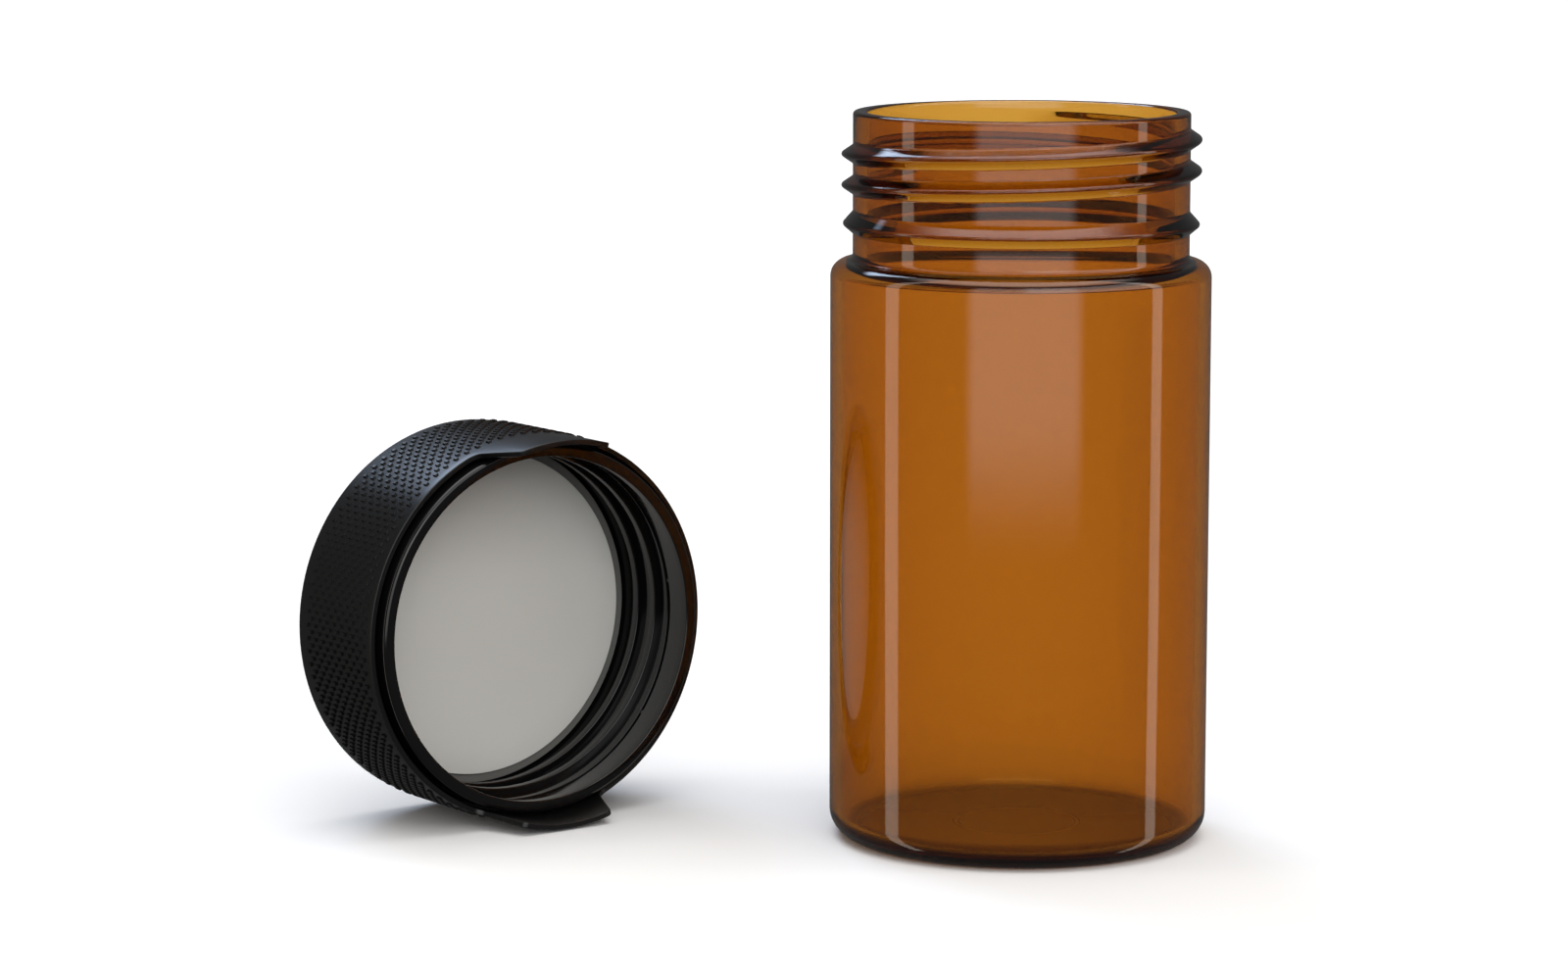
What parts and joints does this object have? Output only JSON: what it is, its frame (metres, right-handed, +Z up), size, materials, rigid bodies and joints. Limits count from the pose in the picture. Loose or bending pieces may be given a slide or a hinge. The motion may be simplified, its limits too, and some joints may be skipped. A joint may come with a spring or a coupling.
{
  "type": "prescription vial",
  "caption": "Clear amber round vial with a threaded neck, and its black push-and-turn closure with knurled shell, tabs and tamper band lying beside it.",
  "frame": {"origin": "middle of the vial's base, on the surface that it stands on", "axes": "+Z up along the vial's axis; the closure lies on its side at -X and +Y with its axis along Y and its mouth facing -Y"},
  "size_m": [0.1033, 0.0906, 0.1],
  "materials": {
    "amber_clear": "clear moulded amber plastic",
    "black_inner": "satin moulded black",
    "black_shell": "satin moulded black, knurled",
    "black_band": "satin moulded black",
    "liner_foam": "fine closed-cell foam",
    "seal_film": "satin film"
  },
  "bodies": {
    "vial": {"vial_body": "amber_clear"},
    "cap": {"inner_cap": "black_inner", "liner_backing": "liner_foam", "foil_seal": "seal_film"},
    "shell": {"outer_shell": "black_shell"},
    "band": {"tamper_band": "black_band"}
  },
  "joints": [
    {"name": "cap_lift", "type": "slide", "parent": "vial", "child": "cap", "axis": [0, 0, 1], "range_m": [0, 0.12]},
    {"name": "shell_turn", "type": "hinge", "parent": "cap", "child": "shell", "pos_m": [-0.0498, 0.0447, 0.0275], "axis": [0, -1, 0], "continuous": true},
    {"name": "band_break", "type": "slide", "parent": "cap", "child": "band", "axis": [0, -1, 0], "range_m": [0, 0.012]}
  ]
}
